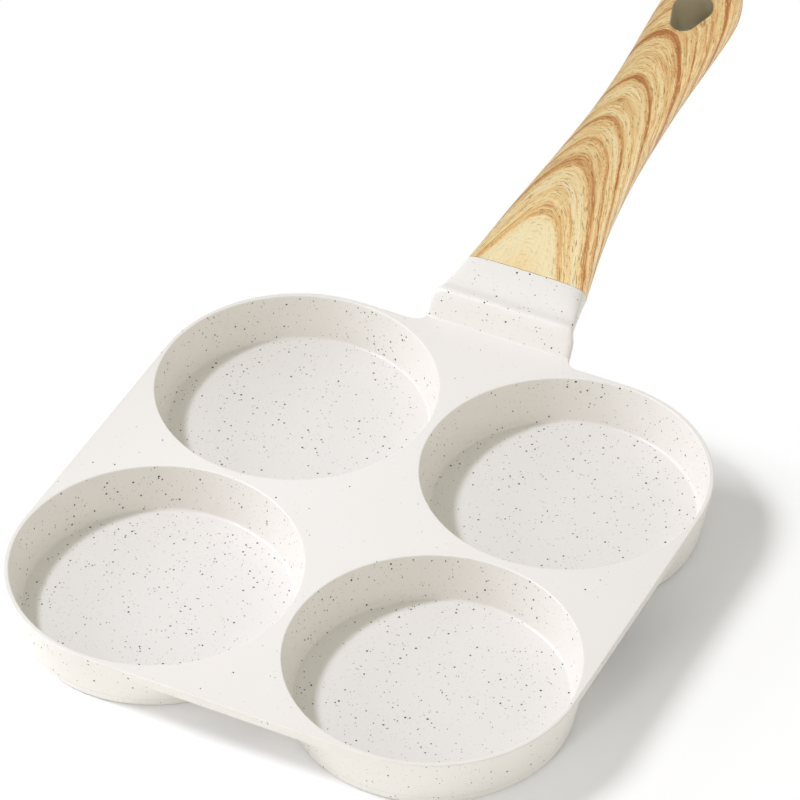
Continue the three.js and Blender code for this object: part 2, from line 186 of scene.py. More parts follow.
pick("FACE", lambda f: True)
bpy.ops.mesh.inset(thickness=DECK * math.tan(WALL_DRAFT), use_even_offset=True)
bpy.ops.transform.translate(value=(0, 0, -DECK))
pick("EDGE", lambda e: e.is_boundary)
bpy.ops.mesh.edge_face_add()
pick("EDGE", lambda e: all(v.co.z > deck_top - NEAR for v in e.verts))
bpy.ops.mesh.bevel(offset=DECK_EDGE_ROUND, segments=ROUND_STEPS, affect="EDGES", clamp_overlap=False)
finish_mesh()

# Cup shells, turned from below up into the deck
base = DISC_PROUD
shell_top = deck_top - DECK / 2
round_height = base + BASE_ROUND
round_centre = wall_radius(round_height) + WALL - WALL_FLUSH - BASE_ROUND / math.cos(WALL_DRAFT)
shell_profile = [
    *arc(BASE_ROUND, round_centre, round_height, -math.pi / 2, -WALL_DRAFT),
    (wall_radius(shell_top) + WALL - WALL_FLUSH, shell_top),
]
for centre in cup_centres.values():
    combine(casting, turned("cup_shell", shell_profile, centre), "UNION")

# Neck: a step up from the deck, a low ridge, a shallow valley and a ramp that ends square to the grip
CREASE_FILLET = 1.2 * MM
STEP_HEIGHT = 8.9 * MM
SHOULDER_AT = 0.86
RIDGE_WIDTH = 48.6 * MM
RIDGE_ROUND = 0.9 * MM
RIDGE_THICKNESS = 4.1 * MM
RIDGE_LEAN = 1 * MM
VALLEY_RUN = 3.8 * MM
VALLEY_DROP = 0.05 * MM
RAMP_RUN = 11.7 * MM
RAMP_RISE = 3.85 * MM
VALLEY_NARROWING = 0.25
RAMP_NARROWING = 0.67
GRIP_TILT = math.radians(18)
GRIP_JOINT_WIDTH = 42.4 * MM
GRIP_JOINT_THICKNESS = 10 * MM
JOINT_SQUARENESS = 4.2
PLATE_SIDE_SQUARENESS = 30
PLATE_TOP_SQUARENESS = 3.2
JOINT_EDGE_ROUND = 0.12 * MM
NECK_RINGS = 72
NECK_POINTS = 96


def mix(a, b, share):
    return a + (b - a) * share


def smooth_path(points, share):
    """A place on the smooth curve through the points, which lie at even shares of it."""
    last = len(points) - 1
    i = min(int(share * last), last - 1)
    start, end = points[i], points[i + 1]
    before = points[i - 1] if i > 0 else 2 * start - end
    after = points[i + 2] if i + 2 <= last else 2 * end - start
    knot_in = math.sqrt((start - before).length)
    knot = math.sqrt((end - start).length)
    knot_out = math.sqrt((after - end).length)
    leave = ((start - before) / knot_in - (end - before) / (knot_in + knot)) * knot + (end - start)
    arrive = (end - start) + ((after - end) / knot_out - (after - start) / (knot + knot_out)) * knot
    t = share * last - i
    curve = 3 * (end - start) - 2 * leave - arrive
    twist = 2 * (start - end) + leave + arrive
    return start + t * (leave + t * (curve + t * twist))


def section(centre, tilt, half_width, half_thickness, side_squareness, top_squareness):
    """A ring of a loft: the place of a corner from its turn, on an oval that is square to the tilt."""
    def place(turn):
        along_side, along_top = math.cos(turn), math.sin(turn)
        across = half_width * math.copysign(abs(along_side) ** (2 / side_squareness), along_side)
        up = half_thickness * math.copysign(abs(along_top) ** (2 / top_squareness), along_top)
        return Vector((across, centre.y - up * math.sin(tilt), centre.z + up * math.cos(tilt)))
    return place


def lofted(name, rings, points):
    """A disc that is extruded from ring to ring, each corner keeping its turn."""
    piece = added(bpy.ops.mesh.primitive_circle_add, name, vertices=points, radius=1, fill_type="NGON")
    shape = bmesh.from_edit_mesh(piece.data)
    turn = shape.verts.layers.float.new("turn")
    for corner in shape.verts:
        corner[turn] = math.atan2(corner.co.y, corner.co.x)
        corner.co = rings[0](corner[turn])
    bmesh.update_edit_mesh(piece.data)
    bpy.ops.mesh.select_mode(type="FACE")
    bpy.ops.mesh.select_all(action="SELECT")
    for place in rings[1:]:
        bpy.ops.mesh.extrude_region_move()
        shape = bmesh.from_edit_mesh(piece.data)
        turn = shape.verts.layers.float["turn"]
        for corner in shape.verts:
            if corner.select:
                corner.co = place(corner[turn])
        bmesh.update_edit_mesh(piece.data)
    finish_mesh()
    piece.data.attributes.remove(piece.data.attributes["turn"])
    return piece


step_up = Vector((0, math.cos(STEP_SLOPE), math.sin(STEP_SLOPE)))
step_out = Vector((0, -math.sin(STEP_SLOPE), math.cos(STEP_SLOPE)))
grip_ahead = Vector((0, math.cos(GRIP_TILT), math.sin(GRIP_TILT)))
grip_up = Vector((0, -math.sin(GRIP_TILT), math.cos(GRIP_TILT)))
foot = Vector((0, crease, deck_top))


def on_step(height):
    return foot + step_up * (height / math.sin(STEP_SLOPE))


def under_step(top):
    return top - STEP_PLATE * step_out


ridge = on_step(STEP_HEIGHT) + Vector((0, RIDGE_ROUND, 0))
valley = ridge + Vector((0, VALLEY_RUN, -VALLEY_DROP))
joint_top = valley + Vector((0, RAMP_RUN, RAMP_RISE))
joint = joint_top - GRIP_JOINT_THICKNESS / 2 * grip_up
joint_below = joint - GRIP_JOINT_THICKNESS / 2 * grip_up
ridge_below = ridge + Vector((0, RIDGE_LEAN, -RIDGE_THICKNESS))
valley_below = valley + Vector((0, RIDGE_LEAN / 2, -RIDGE_THICKNESS))
step_foot, step_half = on_step(-DECK / 2), on_step(STEP_HEIGHT / 2)
top_line = [step_foot, step_half, on_step(SHOULDER_AT * STEP_HEIGHT), ridge, valley,
            (valley + joint_top) / 2, joint_top]
under_line = [under_step(step_foot), under_step(step_half), (under_step(step_half) + ridge_below) / 2,
              ridge_below, valley_below, (valley_below + joint_below) / 2, joint_below]
half_foot, half_ridge, half_joint = NECK_FOOT_WIDTH / 2, RIDGE_WIDTH / 2, GRIP_JOINT_WIDTH / 2
half_valley = mix(half_ridge, half_joint, VALLEY_NARROWING)
half_ramp = mix(half_ridge, half_joint, RAMP_NARROWING)
half_widths = [half_foot, half_foot, (half_foot + half_ridge) / 2, half_ridge,
               half_valley, half_ramp, half_joint]
side_line = [Vector((width, i * MM, 0)) for i, width in enumerate(half_widths)]


def neck_section(top, below, share):
    """A ring of the neck between a place on its top line and one on its under line."""
    rise = top - below
    tilt = math.atan2(-rise.y, rise.z)
    return section((top + below) / 2, tilt, smooth_path(side_line, share).x, rise.length / 2,
                   mix(PLATE_SIDE_SQUARENESS, JOINT_SQUARENESS, share),
                   mix(PLATE_TOP_SQUARENESS, JOINT_SQUARENESS, share))


neck_rings = []
fillet_start = crease - CREASE_FILLET * math.tan(STEP_SLOPE / 2)
fillet_end = foot + CREASE_FILLET * math.tan(STEP_SLOPE / 2) * step_up
for i in range(ROUND_STEPS):
    lean = STEP_SLOPE * i / ROUND_STEPS
    rise = CREASE_FILLET * (1 - math.cos(lean))
    top = Vector((0, fillet_start + CREASE_FILLET * math.sin(lean), deck_top - WALL_FLUSH + rise))
    below = Vector((0, fillet_start, deck_top - DECK)).lerp(under_step(fillet_end), i / ROUND_STEPS)
    neck_rings.append(neck_section(top, below, 0))
for i in range(NECK_RINGS):
    share = i / NECK_RINGS
    top = smooth_path(top_line, share)
    if top.z > fillet_end.z:
        neck_rings.append(neck_section(top, smooth_path(under_line, share), share))
for i in range(ROUND_STEPS + 1):
    lean = math.pi / 2 * i / ROUND_STEPS
    inset = JOINT_EDGE_ROUND * (1 - math.cos(lean))
    back = JOINT_EDGE_ROUND * (1 - math.sin(lean))
    neck_rings.append(section(joint - back * grip_ahead, GRIP_TILT, half_joint - inset,
                              GRIP_JOINT_THICKNESS / 2 - inset, JOINT_SQUARENESS, JOINT_SQUARENESS))
combine(casting, lofted("neck", neck_rings, NECK_POINTS), "UNION")

# Tang: a flat bar on the neck's end that the grip slides over, tapped for the screw
TANG_LENGTH = 26 * MM
TANG_ROOT = 5 * MM
TANG_WIDTH = 24 * MM
TANG = 4.5 * MM
TANG_TILT = math.radians(13.5)
TANG_LIFT = 0.9 * MM
SCREW_FROM_JOINT = 18 * MM
SCREW_RADIUS = 2 * MM
SCREW_FIT = 0.3 * MM
SCREW_SEGMENTS = 48


def in_tang(along, up):
    """A place in the tang's own direction from the joint."""
    ahead = Vector((0, math.cos(TANG_TILT), math.sin(TANG_TILT)))
    upward = Vector((0, -math.sin(TANG_TILT), math.cos(TANG_TILT)))
    return joint + along * ahead + up * upward


def tang_bar(name, width, thickness, start, stop):
    bar = added(bpy.ops.mesh.primitive_cube_add, name, size=1, scale=(width, stop - start, thickness),
                rotation=(TANG_TILT, 0, 0), location=in_tang((start + stop) / 2, TANG_LIFT))
    finish_mesh()
    return bar


def tang_round(name, radius, bottom, top):
    """A round bar square to the tang, through the screw's place."""
    bar = added(bpy.ops.mesh.primitive_cylinder_add, name, vertices=SCREW_SEGMENTS, radius=radius,
                depth=top - bottom, rotation=(TANG_TILT, 0, 0),
                location=in_tang(SCREW_FROM_JOINT, (bottom + top) / 2))
    finish_mesh()
    return bar


combine(casting, tang_bar("tang", TANG_WIDTH, TANG, -TANG_ROOT, TANG_LENGTH), "UNION")
combine(casting, tang_round("tapping", SCREW_RADIUS + SCREW_FIT, TANG_LIFT - TANG, TANG_LIFT + TANG),
        "DIFFERENCE")

# Hollows of the cups, with a fillet round the floor and a rounded rim, and the seats of the base discs
floor_top = base + FLOOR
fillet_height = floor_top + FLOOR_FILLET
fillet_centre = wall_radius(fillet_height) - FLOOR_FILLET / math.cos(WALL_DRAFT)
rim_height = deck_top - RIM_ROUND
rim_centre = wall_radius(rim_height) + RIM_ROUND / math.cos(WALL_DRAFT)
hollow_profile = [
    *arc(FLOOR_FILLET, fillet_centre, fillet_height, -math.pi / 2, -WALL_DRAFT),
    *arc(RIM_ROUND, rim_centre, rim_height, math.pi - WALL_DRAFT, math.pi / 2),
    (rim_centre, deck_top + OVERRUN),
]
seat_radius = DISC_RADIUS + DISC_FIT
seat_profile = [(seat_radius, -OVERRUN), (seat_radius, DISC + DISC_FIT)]
for centre in cup_centres.values():
    combine(casting, turned("hollow", hollow_profile, centre), "DIFFERENCE")
    combine(casting, turned("disc_seat", seat_profile, centre), "DIFFERENCE")

SMOOTH_ANGLE = math.radians(30)
DOUBLED = 0.002 * MM


def smooth(piece):
    """Joins the corners that the cuts doubled, then shades rounds smooth and leaves flat faces flat."""
    only(piece)
    bpy.ops.object.mode_set(mode="EDIT")
    bpy.ops.mesh.select_all(action="SELECT")
    bpy.ops.mesh.remove_doubles(threshold=DOUBLED)
    bpy.ops.object.mode_set(mode="OBJECT")
    bpy.ops.object.shade_smooth_by_angle(angle=SMOOTH_ANGLE)
    bpy.ops.object.modifier_add(type="WEIGHTED_NORMAL")
    piece.modifiers[-1].keep_sharp = True
    bpy.ops.object.modifier_apply(modifier=piece.modifiers[-1].name)


class Wire:
    """A value in a material's node tree that sums, products and powers can be written with."""

    def __init__(self, tree, socket=None):
        self.tree = tree
        self.socket = socket

    def node(self, kind, inputs=(), output=0, stops=(), **settings):
        """Any other node: its settings and ramp stops are set first, then its inputs by place or name."""
        made = self.tree.nodes.new("ShaderNode" + kind)
        for name, value in settings.items():
            setattr(made, name, value)
        for i, (place, colour) in enumerate(stops):
            stop = made.color_ramp.elements[i] if i < 2 else made.color_ramp.elements.new(place)
            stop.position = place
            stop.color = colour
        for key, value in dict(inputs).items():
            if isinstance(value, Wire):
                self.tree.links.new(value.socket, made.inputs[key])
            else:
                made.inputs[key].default_value = value
        return Wire(self.tree, made.outputs[output])

    def other(self, output):
        """Another output of the node that this value comes from."""
        return Wire(self.tree, self.socket.node.outputs[output])

    def axis(self, name):
        """A vector's X, Y or Z."""
        return self.node("SeparateXYZ", {0: self}, output=name)

    def math(self, operation, *values):
        return self.node("Math", enumerate(values), operation=operation)

    def __add__(self, more):
        return self.math("ADD", self, more)

    def __sub__(self, less):
        return self.math("SUBTRACT", self, less)

    def __rsub__(self, whole):
        return self.math("SUBTRACT", whole, self)

    def __mul__(self, times):
        return self.math("MULTIPLY", self, times)

    def __truediv__(self, by):
        return self.math("DIVIDE", self, by)

    def __pow__(self, power):
        return self.math("POWER", self, power)

    __radd__ = __add__
    __rmul__ = __mul__

    def clamped(self):
        return self.node("Clamp", {"Value": self})

    def blend(self, start, end):
        """A colour between two, with this value as the share of the second."""
        return self.node("Mix", {0: self, 6: start, 7: end}, output=2, data_type="RGBA")

    def noise(self, scale, detail, output="Fac"):
        """Noise at this place, with lumps of about one over the scale."""
        return self.node("TexNoise", {"Vector": self, "Scale": scale, "Detail": detail}, output=output)

    def drives(self, face, name):
        self.tree.links.new(self.socket, face.inputs[name])

    def raises(self, face, strength, depth):
        """Gives a surface a relief of this value."""
        self.node("Bump", {"Strength": strength, "Distance": depth, "Height": self}).drives(face, "Normal")


def colour(red, green, blue):
    """A colour as it is seen on a screen, from 0 to 255, in the renderer's linear values."""
    def linear(value):
        value /= 255
        return value / 12.92 if value < 0.04045 else ((value + 0.055) / 1.055) ** 2.4
    return linear(red), linear(green), linear(blue), 1


def new_material(name):
    """A material, its surface node and a place to start wires from."""
    material = bpy.data.materials.new(name)
    material.use_nodes = True
    return material, material.node_tree.nodes["Principled BSDF"], Wire(material.node_tree)


# Coating: warm white with dark, grey, tan and faint flecks in loose clumps. The cups have the most flecks,
# the neck and the outside fewer and the deck very few, and the cups' floors are a little greyer.
COAT_WHITE = colour(243, 239, 233)
COAT_SHADE = colour(240, 236, 229)
COAT_GREY = colour(235, 232, 226)
FLECK_DARK = colour(34, 30, 28)
FLECK_GREY = colour(100, 93, 86)
FLECK_FAINT = colour(196, 188, 178)
FLECK_TAN = colour(170, 146, 118)
SHADES_PER_METRE = 40
CLUMPS_PER_METRE = 140
CLUMP_SHARE = 0.62
CLUMP_CONTRAST = 2.2
JAGS_PER_METRE = 2600
JAG_REACH = 0.3 * MM
FLECK_EDGE = 0.06 * MM
SMALLEST_FLECK = 0.5
FLAT_BAND = 0.3 * MM
KEPT_ON_NECK = 0.6
KEPT_OUTSIDE = 0.5
PEEL_PER_METRE = 1400
COAT_ROUGHNESS = 0.27
PEEL_ROUGHNESS = 0.12
FLECK_RELIEF = 0.5
coating, coat_face, coat_wire = new_material("speckled_coating")
coat_place = coat_wire.node("TexCoord", output="Object")


def from_cup_axis(place):
    """Distance from the axis of the nearest cup."""
    x = place.math("ABSOLUTE", place.axis("X")) - CUP_PITCH / 2
    y = place.math("ABSOLUTE", place.axis("Y") - pan_y) - CUP_PITCH / 2
    return (x * x + y * y) ** 0.5


height = coat_place.axis("Z")
on_deck = height.math("COMPARE", height, deck_top, FLAT_BAND)
on_neck = height.math("GREATER_THAN", height, deck_top + FLAT_BAND)
on_floor = height.math("COMPARE", height, floor_top, FLAT_BAND)
under_deck = height.math("LESS_THAN", height, deck_top - FLAT_BAND)
from_wall = from_cup_axis(coat_place) - (height - deck_top) * math.tan(WALL_DRAFT)
outside = height.math("GREATER_THAN", from_wall, RIM_RADIUS + WALL / 2) * under_deck
jags = coat_place.noise(JAGS_PER_METRE, 1, "Color")
jags = coat_place.node("VectorMath", {0: jags, 1: (0.5, 0.5, 0.5)}, operation="SUBTRACT")
jags = coat_place.node("VectorMath", {0: jags, "Scale": JAG_REACH}, operation="SCALE")
jagged_place = coat_place.node("VectorMath", {0: coat_place, 1: jags}, operation="ADD")
clump = CLUMP_SHARE + CLUMP_CONTRAST * (coat_place.noise(CLUMPS_PER_METRE, 1) - 0.5)


def flecks(cell, radius, kept_on_deck):
    """Where the flecks of one kind are: one in each cell of a size, but only a share of them are kept."""
    spots = jagged_place.node("TexVoronoi", {"Vector": jagged_place, "Scale": 1 / cell}, output="Distance")
    chance = spots.node("SeparateColor", {0: spots.other("Color")})
    dropped = (1 - kept_on_deck) * on_deck + (1 - KEPT_ON_NECK) * on_neck + (1 - KEPT_OUTSIDE) * outside
    left_out = spots.math("GREATER_THAN", chance.other("Green"), clump * (1 - dropped))
    size = radius * (SMALLEST_FLECK + (1 - SMALLEST_FLECK) * chance) * (1 - left_out)
    return ((size - spots * cell) / FLECK_EDGE).clamped()


dark = flecks(cell=2.13 * MM, radius=0.39 * MM, kept_on_deck=0.07)
grey = flecks(cell=1.55 * MM, radius=0.25 * MM, kept_on_deck=0.06)
tan = flecks(cell=3.3 * MM, radius=0.32 * MM, kept_on_deck=0.07)
faint = flecks(cell=0.79 * MM, radius=0.19 * MM, kept_on_deck=0.1)
surface = coat_place.noise(SHADES_PER_METRE, 2).blend(COAT_WHITE, COAT_SHADE)
surface = on_floor.blend(surface, COAT_GREY)
surface = faint.blend(surface, FLECK_FAINT)
surface = tan.blend(surface, FLECK_TAN)
surface = grey.blend(surface, FLECK_GREY)
dark.blend(surface, FLECK_DARK).drives(coat_face, "Base Color")
peel = coat_place.noise(PEEL_PER_METRE, 2)
(COAT_ROUGHNESS + PEEL_ROUGHNESS * peel).drives(coat_face, "Roughness")
(peel + FLECK_RELIEF * dark).raises(coat_face, strength=0.25, depth=0.05 * MM)
casting.data.materials.append(coating)
smooth(casting)
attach(casting, "root")
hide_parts("pan_body")

# Grip: a phenolic moulding with a printed wood grain, flared at the joint and rounded at the tail. It has a
# socket for the tang, a counterbore for the screw in its underside and a tapered hanging hole in its tail.
GRIP_LENGTH = 157.6 * MM
GRIP_WAIST_WIDTH = 24.8 * MM
GRIP_TAIL_WIDTH = 28 * MM
GRIP_THICKNESS = 15 * MM
GRIP_TAIL_ROUND = 27 * MM
GRIP_END_ROUND = 8 * MM
GRIP_END_SHARE = 0.32
GRIP_FULL_AT = 0.22
GRIP_WAIST_AT = 0.58
GRIP_WIDEST_AT = 0.9
GRIP_LINE = [(0, 0), (0.15, 5.7 * MM), (0.3, 8.5 * MM), (0.55, 11.2 * MM), (0.8, 15.65 * MM), (1, 20.15 * MM)]
LINE_HALVINGS = 40
TILT_STEP = 1e-4
GRIP_SQUARENESS = 2.8
TAIL_SQUARENESS = 2.5
JOINT_GAP = 0.06 * MM
GRIP_RINGS = 110
TAIL_RINGS = 40
TAIL_END = 0.02 * MM
GRIP_POINTS = 112
TANG_FIT = 0.3 * MM
WASHER_RADIUS = 4.5 * MM
SCREW_SEAT = -3.25 * MM
HOLE_FROM_TAIL = 24.2 * MM
HOLE_TAIL_RADIUS = 7 * MM
HOLE_NEAR_RADIUS = 4.4 * MM
HOLE_CENTRES = 8.2 * MM
HOLE_UNDER_SHARE = 0.55
HOLE_RIM_ROUND = 0.35 * MM
HOLE_POINTS = 96
grip_start = joint + JOINT_GAP * grip_ahead
grip_points = [grip_start + Vector((0, share * GRIP_LENGTH, rise)) for share, rise in GRIP_LINE]


def near_joint(share):
    return max(0, 1 - share / GRIP_FULL_AT) ** 2


def grip_half_width(share):
    waist = GRIP_WAIST_WIDTH / 2
    if share < GRIP_WAIST_AT:
        return waist + (half_joint - waist) * (1 - share / GRIP_WAIST_AT) ** 2
    to_tail = min(1, (share - GRIP_WAIST_AT) / (GRIP_WIDEST_AT - GRIP_WAIST_AT))
    full = mix(waist, GRIP_TAIL_WIDTH / 2, to_tail * to_tail * (3 - 2 * to_tail))
    into_round = max(0, 1 - (1 - share) * GRIP_LENGTH / GRIP_TAIL_ROUND)
    return full * (1 - into_round ** TAIL_SQUARENESS) ** (1 / TAIL_SQUARENESS)


def grip_half_thickness(share):
    full = mix(GRIP_THICKNESS, GRIP_JOINT_THICKNESS, near_joint(share)) / 2
    into_round = max(0, 1 - (1 - share) * GRIP_LENGTH / GRIP_END_ROUND)
    return full * math.sqrt(1 - (1 - GRIP_END_SHARE ** 2) * into_round ** 2)


def grip_squareness(share):
    return mix(GRIP_SQUARENESS, JOINT_SQUARENESS, near_joint(share))


def grip_place(share):
    """The middle line's place and tilt at a share of the grip's length."""
    low, high = 0, 1
    for _ in range(LINE_HALVINGS):
        middle = (low + high) / 2
        if smooth_path(grip_points, middle).y - grip_start.y < share * GRIP_LENGTH:
            low = middle
        else:
            high = middle
    before = smooth_path(grip_points, max(0, low - TILT_STEP))
    ahead = smooth_path(grip_points, min(1, low + TILT_STEP)) - before
    return smooth_path(grip_points, low), math.atan2(ahead.z, ahead.y)


def grip_section(share):
    place, tilt = grip_place(share)
    squareness = grip_squareness(share)
    return section(place, tilt, grip_half_width(share), grip_half_thickness(share), squareness, squareness)


grip_rings = []
for i in range(ROUND_STEPS + 1):
    lean = math.pi / 2 * i / ROUND_STEPS
    inset = JOINT_EDGE_ROUND * (1 - math.sin(lean))
    ahead = JOINT_EDGE_ROUND * (1 - math.cos(lean))
    grip_rings.append(section(grip_start + ahead * grip_ahead, GRIP_TILT, half_joint - inset,
                              GRIP_JOINT_THICKNESS / 2 - inset, JOINT_SQUARENESS, JOINT_SQUARENESS))
tail_share = 1 - GRIP_TAIL_ROUND / GRIP_LENGTH
for i in range(1, GRIP_RINGS):
    grip_rings.append(grip_section(tail_share * i / GRIP_RINGS))
for i in range(TAIL_RINGS + 1):
    rest = (1 - tail_share) * (1 - math.sin(math.pi / 2 * i / TAIL_RINGS))
    grip_rings.append(grip_section(1 - max(rest, TAIL_END / GRIP_LENGTH)))
handle = lofted("wood_grip", grip_rings, GRIP_POINTS)

socket_play = 2 * TANG_FIT
grip_cuts = [
    tang_bar("socket", TANG_WIDTH + socket_play, TANG + socket_play, -OVERRUN, TANG_LENGTH + TANG_FIT),
    tang_round("clearance", SCREW_RADIUS + SCREW_FIT, SCREW_SEAT - OVERRUN, TANG_LIFT),
    tang_round("counterbore", WASHER_RADIUS + SCREW_FIT, -GRIP_THICKNESS, SCREW_SEAT),
]
for cut in grip_cuts:
    combine(handle, cut, "DIFFERENCE")

hole_place, hole_tilt = grip_place(1 - HOLE_FROM_TAIL / GRIP_LENGTH)
hole_middle = (HOLE_TAIL_RADIUS - HOLE_CENTRES - HOLE_NEAR_RADIUS) / 2
hole_lean = math.asin((HOLE_TAIL_RADIUS - HOLE_NEAR_RADIUS) / HOLE_CENTRES)


def hole_outline(turn, up, widened):
    """A point of the egg-shaped hole at a height over the grip's middle line."""
    size = mix(1, HOLE_UNDER_SHARE, 1 / 2 - up / GRIP_THICKNESS)
    if math.sin(turn) > -math.sin(hole_lean):
        across, along = HOLE_TAIL_RADIUS * math.cos(turn), HOLE_TAIL_RADIUS * math.sin(turn)
    else:
        across = HOLE_NEAR_RADIUS * math.cos(turn)
        along = HOLE_NEAR_RADIUS * math.sin(turn) - HOLE_CENTRES
    return size * across + widened * math.cos(turn), mix(hole_middle, along, size) + widened * math.sin(turn)


def grip_surface(across, along):
    """Height of the grip's top over its middle line beside the hole."""
    share = 1 - (HOLE_FROM_TAIL - along) / GRIP_LENGTH
    power = grip_squareness(share)
    return grip_half_thickness(share) * (1 - (abs(across) / grip_half_width(share)) ** power) ** (1 / power)


def hole_ring(height, widened):
    """A ring of the hole's tool at a height that follows the grip's top."""
    def place(turn):
        top = grip_surface(*hole_outline(turn, GRIP_THICKNESS / 2, HOLE_RIM_ROUND))
        up = height(top)
        across, along = hole_outline(turn, up, widened)
        return hole_place + Vector((across, along * math.cos(hole_tilt) - up * math.sin(hole_tilt),
                                    along * math.sin(hole_tilt) + up * math.cos(hole_tilt)))
    return place


hole_rings = [hole_ring(lambda top: -GRIP_THICKNESS / 2 - OVERRUN, 0)]
for i in range(ROUND_STEPS + 1):
    lean = math.pi / 2 * i / ROUND_STEPS
    rise = HOLE_RIM_ROUND * (math.sin(lean) - 1)
    hole_rings.append(hole_ring(lambda top, rise=rise: top + rise, HOLE_RIM_ROUND * (1 - math.cos(lean))))
hole_rings.append(hole_ring(lambda top: top + OVERRUN, HOLE_RIM_ROUND))
combine(handle, lofted("hanging_hole", hole_rings, HOLE_POINTS), "DIFFERENCE")

# Printed grain: arches of brown growth bands that open towards the joint, with fine lines, hairs, pores and
# pale glints along them. The socket, the counterbore and the hole show the bare moulding in a dark
# olive-grey, which in the hole is also painted shade.
PRINT_SPAN = 160 * MM
STATIONS = 320
STATION_TRIES = 3
SKIN = 0.97
END_CAP = 0.2 * MM
stations = [grip_place(i / STATIONS) for i in range(STATIONS + 1)]


def unrolled(place):
    """How far round from the top line and how far along a place on the grip is, and how near the skin."""
    share = (place.y - grip_start.y) / GRIP_LENGTH
    for _ in range(STATION_TRIES):
        i = round(min(max(share, 0), 1) * STATIONS)
        middle, tilt = stations[i]
        ahead = (place.y - middle.y) * math.cos(tilt) + (place.z - middle.z) * math.sin(tilt)
        share = i / STATIONS + ahead * math.cos(tilt) / GRIP_LENGTH
    up = (place.z - middle.z) * math.cos(tilt) - (place.y - middle.y) * math.sin(tilt)
    share = min(max(share, 0), 1 - TAIL_END / GRIP_LENGTH)
    wide, thick = grip_half_width(share), grip_half_thickness(share)
    across = abs(place.x) if up >= 0 else 2 * wide - abs(place.x)
    power = grip_squareness(share)
    near_skin = (abs(place.x) / wide) ** power + (abs(up) / thick) ** power
    return across + thick - up, share * GRIP_LENGTH, near_skin


print_map = handle.data.uv_layers.new(name="print").data
# Faces inside the socket, the counterbore and the hole: bare moulding, which in the hole also carries painted
# shade
bare_and_hole_shade = handle.data.attributes.new("bare_and_hole_shade", "FLOAT", "FACE").data
skin_places = [unrolled(corner.co) for corner in handle.data.vertices]
for face in handle.data.polygons:
    side = math.copysign(1, face.center.x)
    _, along, near_skin = unrolled(face.center)
    bare_and_hole_shade[face.index].value = near_skin < SKIN and along < GRIP_LENGTH - END_CAP
    for loop in face.loop_indices:
        across, along, _ = skin_places[handle.data.loops[loop].vertex_index]
        print_map[loop].uv = (0.5 + side * across / PRINT_SPAN / 2, along / PRINT_SPAN)

# Arches of the print, with all lengths in millimetres
ARCH_MIDDLE = -3
ARCH_ROUND = 9.85
ARCH_STEEPNESS = 2.66
ARCH_EASING = 0.0011
ARCH_TRUE_AT = 60
MEANDER_LENGTH = 30
MEANDER_SWING = 3
WAVER_WIDTH = 9
WAVER_LENGTH = 16
WAVER_SWING = 3
RAGGED_WIDTH = 0.5
RAGGED_LENGTH = 0.9
RAGGED_SWING = 2.6
wood, wood_face, wood_wire = new_material("wood_print")
print_place = wood_wire.node("UVMap", uv_map="print")
print_across = (print_place.axis("X") - 0.5) * (2 * PRINT_SPAN / MM)
print_along = print_place.axis("Y") * (PRINT_SPAN / MM)


def grain_noise(x, y, z, detail=2):
    return wood_wire.node("CombineXYZ", {0: x, 1: y, 2: z}).noise(1, detail)


meander = grain_noise(0, print_along / MEANDER_LENGTH, 7) - 0.5
waver = grain_noise(print_across / WAVER_WIDTH, print_along / WAVER_LENGTH, 0) - 0.5
ragged = grain_noise(print_across / RAGGED_WIDTH, print_along / RAGGED_LENGTH, 3, detail=3) - 0.5
aside = print_across - ARCH_MIDDLE + MEANDER_SWING * meander
from_arch = (aside * aside + ARCH_ROUND ** 2) ** 0.5
on_leg = aside.math("ABSOLUTE", aside) / from_arch
steepness = ARCH_STEEPNESS * (1 + ARCH_EASING * (ARCH_TRUE_AT - print_along))
growth = print_along + steepness * (from_arch - ARCH_ROUND) + WAVER_SWING * waver

# Growth bands: where each lies on the arches' middle line, in millimetres, and how dark it is
NEAR_SPAN = 66
FAR_SPAN = 72
near_bands = [
    (0, 0.17), (6, 0.13), (10, 0.06), (16, 0.06), (19, 0.12), (20.6, 0.2), (21.6, 0.46), (25.4, 0.46),
    (27, 0.26), (28, 0.22), (31, 0.28), (34, 0.18), (37, 0.14), (41, 0.22), (44.2, 0.34), (45.2, 0.66),
    (47.8, 0.74), (49.3, 0.68), (50.6, 0.44), (54.6, 0.28), (57, 0.42), (58.6, 0.76), (59.6, 0.68),
    (60.8, 0.22), (66, 0.22)]
far_bands = [
    (0, 0.22), (2.8, 0.42), (4.2, 0.9), (5.4, 0.84), (6.6, 0.34), (8, 0.24), (11, 0.26), (13.4, 0.5),
    (14.6, 0.46), (16.5, 0.26), (20, 0.16), (23.4, 0.28), (25.6, 0.5), (26.6, 0.92), (28, 0.84),
    (29.2, 0.42), (31, 0.26), (34.5, 0.38), (37, 0.26), (41, 0.42), (44, 0.34), (48.6, 0.38), (50, 0.7),
    (51, 1), (53.4, 1), (54.6, 0.46), (60, 0.3), (64, 0.42), (66, 0.84), (67.5, 0.36), (72, 0.42)]


def band_ramp(value, span, bands):
    stops = [(mm / span, (dark, dark, dark, 1)) for mm, dark in bands]
    return value.node("ValToRGB", {"Fac": value / span}, stops=stops)


ragged_growth = growth + RAGGED_SWING * ragged
far_growth = growth.math("PINGPONG", ragged_growth - NEAR_SPAN, FAR_SPAN)
is_far = growth.math("GREATER_THAN", ragged_growth, NEAR_SPAN)
near_level = band_ramp(ragged_growth, NEAR_SPAN, near_bands)
far_level = band_ramp(far_growth, FAR_SPAN, far_bands)
bands = is_far.blend(near_level, far_level)
band_level = bands.node("SeparateColor", {0: bands})

